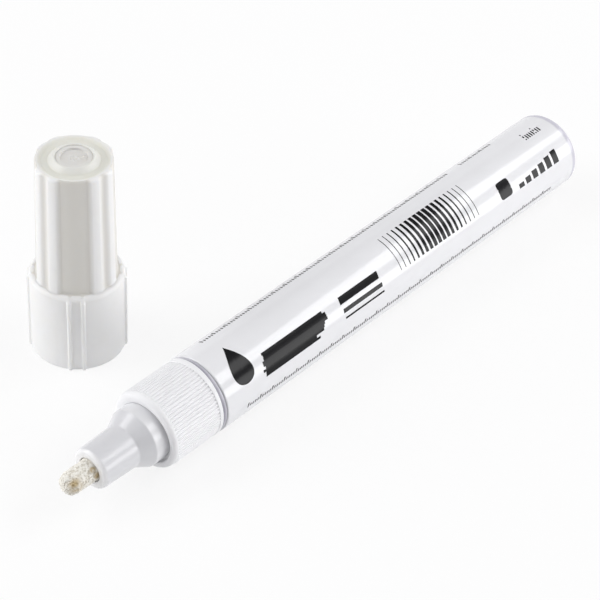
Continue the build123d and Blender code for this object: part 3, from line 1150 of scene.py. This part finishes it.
printShape = {
    "middle": np.arctan2(0.605, 0.796),  # the line that faces up and to the front
    "drop": {"front": 5.6, "upper": -4.4, "size": 8.0, "width": 0.42, "point": 1.5, "core": 0.7, "sides": 64},
    "stroke": {
        "front": 10.2,
        "rear": 28.5,
        "upper": 0.5,
        "lower": 4.7,
        "bristles": 9,
        "uneven": 0.7,  # at the front
        "ragged": 4.5,  # at the rear
        "slant": 0.9,
        "seed": 7,
    },
    "samples": [  # front, rear, upper, lower, slant
        (31.0, 41.6, 0.3, 1.7, 0.25),
        (31.0, 41.6, 2.6, 3.4, 0.15),
        (31.0, 41.6, 4.2, 4.55, 0.05),
    ],
    "gauge": {
        "front": 47.0,
        "rear": 69.6,
        "upper": -4.4,
        "lower": 3.0,
        "count": 19,
        "thin": 0.16,
        "thick": 0.95,
    },
    "swatch": {"middle": (78.2, 1.7), "half": 1.75, "squareness": 6.0, "sides": 48},
    "steps": {"front": 82.0, "pitch": 2.15, "width": 1.55, "count": 6, "lower": 3.5, "low": 0.9, "high": 2.7},
    "ticks": {"pitch": 0.62, "width": 0.32, "short": 0.62, "every": 5, "slant": 0.1},
    "tickLines": [  # front, rear, upper edge, height
        (5.0, 73.0, -9.7, 1.3),
        (5.0, 92.0, 7.5, 1.1),
        (76.5, 86.0, -9.7, 1.2),
        (90.6, 95.6, -5.6, 1.9),
    ],
}


# A point of the print is (behind the mouth, round the barrel): the second runs as an arc about the axis from
# the print's middle line, downwards on the front side.
def onBarrel(behind, around):
    angle = printShape["middle"] + around / barrelRadius
    return onMarker(np.stack([behind, -barrelRadius * np.sin(angle), barrelRadius * np.cos(angle)], axis=-1))


# Upright marks: columns are (front, rear, upper, lower, slant); each is a strip of quads round the barrel,
# and slant shifts its lower end towards the mouth.
def barMarks(bars, steps=13):
    bars = np.asarray(bars, float)
    share = np.linspace(0.0, 1.0, steps)[None, :, None]
    around = bars[:, 2, None, None] + (bars[:, 3] - bars[:, 2])[:, None, None] * share + np.zeros((1, 1, 2))
    behind = bars[:, None, :2] - bars[:, 4, None, None] * share
    points = onBarrel(behind, around)
    number = np.arange(len(bars) * steps * 2).reshape(len(bars), steps, 2)
    quads = np.stack([number[:, :-1, 0], number[:, 1:, 0], number[:, 1:, 1], number[:, :-1, 1]], axis=-1)
    return points.reshape(-1, 3), quads.reshape(-1, 4)


# Filled outlines: rings of the outline shrink evenly to a small patch about its middle, which a ladder of
# quads closes.
def filledMark(outline, middle, rows=8, smallest=0.04):
    share = np.linspace(1.0, smallest, rows)[:, None, None]
    spots = np.asarray(middle)[None, None] + share * (outline - np.asarray(middle))[None]
    points = onBarrel(spots[..., 0], spots[..., 1])
    sides = outline.shape[0]
    number = np.arange(rows * sides).reshape(rows, sides)
    beside = np.roll(number, -1, axis=1)
    quads = np.stack([number[:-1], beside[:-1], beside[1:], number[1:]], axis=-1)
    rung, patch = np.arange(sides // 2 - 1), number[-1]
    ladder = np.stack([patch[rung], patch[rung + 1], patch[-2 - rung], patch[-1 - rung]], axis=-1)
    return points.reshape(-1, 3), np.concatenate([quads.reshape(-1, 4), ladder])


def makePrint(name, marks, material):
    points, quads, used = [], [], 0
    for markPoints, markQuads in marks:
        points.append(markPoints)
        quads.append(markQuads + used)
        used += len(markPoints)
    points, quads = np.concatenate(points), np.concatenate(quads)
    # every quad faces away from the barrel's axis
    corners = points[quads]
    facing = np.cross(corners[:, 1] - corners[:, 0], corners[:, 2] - corners[:, 0])
    out = corners.mean(axis=1) - np.array([0.0, axisY, axisZ])
    inwards = np.einsum("ij,ij->i", facing[:, 1:], out[:, 1:]) < 0
    quads[inwards] = quads[inwards][:, ::-1]
    print("print", name, len(quads), "quads")
    return makePiece(name, points, quads, np.zeros((0, 3), int), material, "marker")


inkFinish = makeFinish(
    "darkInk",
    clean=(0.004, 0.004, 0.005),
    soiled=(0.008, 0.008, 0.01),
    haze=(350.0, 0.6),
    grain=(900.0, 0.01),
    roughness=(0.17, 0.05),
    Specular_IOR_Level=0.2,
)


# A drop: across is the sine times a power of the half angle's sine, which draws its upper end to a point.
def dropOutline():
    s = printShape["drop"]
    turn = fullTurn(s["sides"])
    across = np.sin(turn) * np.sin(turn / 2) ** s["point"]
    down = (1 - np.cos(turn)) / 2
    return np.stack([s["front"] + s["width"] * s["size"] * across, s["upper"] + s["size"] * down], axis=-1)


# A swatch: the square's rounded outline is a superellipse, cosine and sine to a small power.
def swatchOutline():
    s = printShape["swatch"]
    turn = fullTurn(s["sides"])
    spokes = np.stack([np.cos(turn), np.sin(turn)], axis=-1)
    return np.array(s["middle"]) + s["half"] * np.sign(spokes) * np.abs(spokes) ** (2 / s["squareness"])


def strokeMarks():
    # a brush stroke: bristle tracks side by side that start and stop unevenly
    s = printShape["stroke"]
    random = np.random.default_rng(s["seed"])
    track = np.arange(s["bristles"])
    width = (s["lower"] - s["upper"]) / s["bristles"]
    front = s["front"] + s["uneven"] * random.random(s["bristles"])
    rear = s["rear"] - s["ragged"] * random.random(s["bristles"])
    upper = s["upper"] + width * track
    slant = np.full(s["bristles"], s["slant"] / s["bristles"])
    lean = slant * track
    return barMarks(np.stack([front - lean, rear - lean, upper, upper + width, slant], axis=-1), steps=3)


def gaugeMarks():
    # line-width gauge: bars on an even pitch that grow to the middle and shrink again
    s = printShape["gauge"]
    place = np.linspace(0.0, 1.0, s["count"])
    width = s["thin"] + (s["thick"] - s["thin"]) * np.sin(np.pi * place) ** 2
    middle = s["front"] + (s["rear"] - s["front"]) * place
    edge = 0 * place
    front, rear = middle - width / 2, middle + width / 2
    return barMarks(np.stack([front, rear, edge + s["upper"], edge + s["lower"], edge], axis=-1))


def stepMarks():
    # a row of blocks that grow in height
    s = printShape["steps"]
    front = s["front"] + s["pitch"] * np.arange(s["count"])
    height = np.linspace(s["low"], s["high"], s["count"])
    edge = 0 * front
    rear, upper = front + s["width"], s["lower"] - height
    return barMarks(np.stack([front, rear, upper, edge + s["lower"], edge], axis=-1), steps=5)


def tickMarks(front, rear, upper, height):
    # a fine scale of ticks, every so many a tall one
    s = printShape["ticks"]
    number = np.arange(int((rear - front) / s["pitch"]))
    place = front + s["pitch"] * number
    drop = np.where(number % s["every"] == 0, 0.0, (1 - s["short"]) * height)
    edge = 0 * place
    lower, slant = edge + upper + height, edge + s["slant"]
    return barMarks(np.stack([place, place + s["width"], upper + drop, lower, slant], axis=-1), steps=3)


def makePrints():
    s = printShape
    drop = s["drop"]
    marks = [gaugeMarks(), strokeMarks(), stepMarks(), barMarks(s["samples"], steps=5)]
    marks.append(filledMark(dropOutline(), (drop["front"], drop["upper"] + drop["core"] * drop["size"])))
    marks.append(filledMark(swatchOutline(), s["swatch"]["middle"]))
    marks += [tickMarks(*line) for line in s["tickLines"]]
    return makePrint("barrelPrint", marks, inkFinish)


makePrints()


# Floor, light and camera

stageSetup = {
    "floorSize": 6.0,
    "floorAlbedo": 0.92,
    "floorGlow": 1.0,
    "shadowShare": 0.2,
    "worldTint": (0.985, 0.985, 1.0),
    "worldSides": 0.72,
    "worldTop": 0.68,
    "worldAcross": -50.4,
    "lampDistance": 0.75,
    "lamps": {  # azimuth, elevation, width, height, power
        "rightLight": (-40.0, 44.0, 0.6, 0.24, 1.55),
        "lowLight": (-50.0, 9.5, 0.8, 0.27, 2.35),
        "leftLight": (140.0, 14.0, 0.5, 0.35, 1.7),
        "highLight": (130.0, 46.0, 0.5, 0.3, 1.4),
        "noseLight": (186.0, 14.0, 0.5, 0.3, 0.25),
        "backLight": (40.0, 16.0, 0.8, 0.38, 0.5),
    },
}


def makeFloor():
    s = stageSetup
    half = s["floorSize"] / 2
    mesh = bpy.data.meshes.new("floor")
    corners = [(-half, -half, 0), (half, -half, 0), (half, half, 0), (-half, half, 0)]
    mesh.from_pydata(corners, [], [(0, 1, 2, 3)])
    material = bpy.data.materials.new("floorPaper")
    material.use_nodes = True
    tree = material.node_tree
    tree.nodes.clear()
    paper = addNode(tree, "ShaderNodeBsdfDiffuse", [("Color", rgb(*[s["floorAlbedo"]] * 3))])
    white = addNode(tree, "ShaderNodeEmission", [("Strength", s["floorGlow"])])
    # camera, glossy and transmission rays see the paper mostly white, with part of the shadow left
    path = addNode(tree, "ShaderNodeLightPath")
    direct = addMath(tree, "MAXIMUM", path.outputs["Is Camera Ray"], path.outputs["Is Glossy Ray"])
    shown = addMath(tree, "MAXIMUM", direct, path.outputs["Is Transmission Ray"])
    share = addMath(tree, "MULTIPLY", shown, 1 - s["shadowShare"])
    mix = addNode(tree, "ShaderNodeMixShader", [("Fac", share), (1, paper.outputs[0]), (2, white.outputs[0])])
    output = addNode(tree, "ShaderNodeOutputMaterial", [("Surface", mix.outputs[0])])
    output.is_active_output = True
    mesh.materials.append(material)
    floor = bpy.data.objects.new("floor", mesh)
    bpy.context.scene.collection.objects.link(floor)


# The world's brightness: sides times the square of the direction across the view, plus top times the square
# of its rise.
def makeWorld():
    s = stageSetup
    world = bpy.data.worlds.new("studio")
    bpy.context.scene.world = world
    world.use_nodes = True
    tree = world.node_tree
    place = addNode(tree, "ShaderNodeTexCoord").outputs["Generated"]
    azimuth = np.radians(s["worldAcross"])
    across = (np.cos(azimuth), np.sin(azimuth), 0.0)
    levels = []
    for towards, level in ((across, s["worldSides"]), ((0.0, 0.0, 1.0), s["worldTop"])):
        product = addNode(tree, "ShaderNodeVectorMath", [(0, place), (1, towards)], operation="DOT_PRODUCT")
        share = product.outputs["Value"]
        levels.append(addMath(tree, "MULTIPLY", addMath(tree, "MULTIPLY", share, share), level))
    background = tree.nodes["Background"]
    feed(tree, background.inputs["Color"], rgb(*s["worldTint"]))
    feed(tree, background.inputs["Strength"], addMath(tree, "ADD", *levels))


def makeSoftbox(name, azimuth, elevation, width, height, power):
    lamp = bpy.data.lights.new(name, "AREA")
    lamp.shape = "RECTANGLE"
    lamp.size, lamp.size_y = width, height
    lamp.energy = power
    softbox = bpy.data.objects.new(name, lamp)
    azimuth, elevation = np.radians([azimuth, elevation])
    level = np.cos(elevation)
    towards = Vector((np.cos(azimuth) * level, np.sin(azimuth) * level, np.sin(elevation)))
    place = Matrix.Translation(towards * stageSetup["lampDistance"])
    softbox.matrix_world = place @ towards.to_track_quat("Z", "Y").to_matrix().to_4x4()
    softbox.visible_camera = False
    bpy.context.scene.collection.objects.link(softbox)


cameraSetup = {
    "lookAt": (4.148, -6.424, 0.0),
    "azimuth": -50.362,
    "elevation": 39.988,
    "roll": 2.961,
    "distance": 444.53,
    "lens": 144.05,
    "sensor": 36.0,
    "clipStart": 0.01,
}


# Back points from the object to the lens; right is level before the roll turns right and up together.
def makeCamera():
    s = cameraSetup
    azimuth, elevation, roll = np.radians([s["azimuth"], s["elevation"], s["roll"]])
    level = np.cos(elevation)
    back = np.array([np.sin(azimuth) * level, -np.cos(azimuth) * level, np.sin(elevation)])
    aside = np.array([np.cos(azimuth), np.sin(azimuth), 0.0])
    upright = np.cross(back, aside)
    right = aside * np.cos(roll) + upright * np.sin(roll)
    up = upright * np.cos(roll) - aside * np.sin(roll)
    place = (np.array(s["lookAt"]) + s["distance"] * back) * mm
    lens = bpy.data.cameras.new("photoCamera")
    lens.lens, lens.sensor_width = s["lens"], s["sensor"]
    lens.clip_start = s["clipStart"]
    camera = bpy.data.objects.new("photoCamera", lens)
    matrix = np.eye(4)
    matrix[:3] = np.stack([right, up, back, place], axis=-1)
    camera.matrix_world = Matrix(matrix.tolist())
    bpy.context.scene.collection.objects.link(camera)
    bpy.context.scene.camera = camera


makeFloor()
makeWorld()
for lampName, lampSizes in stageSetup["lamps"].items():
    makeSoftbox(lampName, *lampSizes)
makeCamera()
bpy.context.scene.view_settings.view_transform = "Standard"
print("stage and camera set")
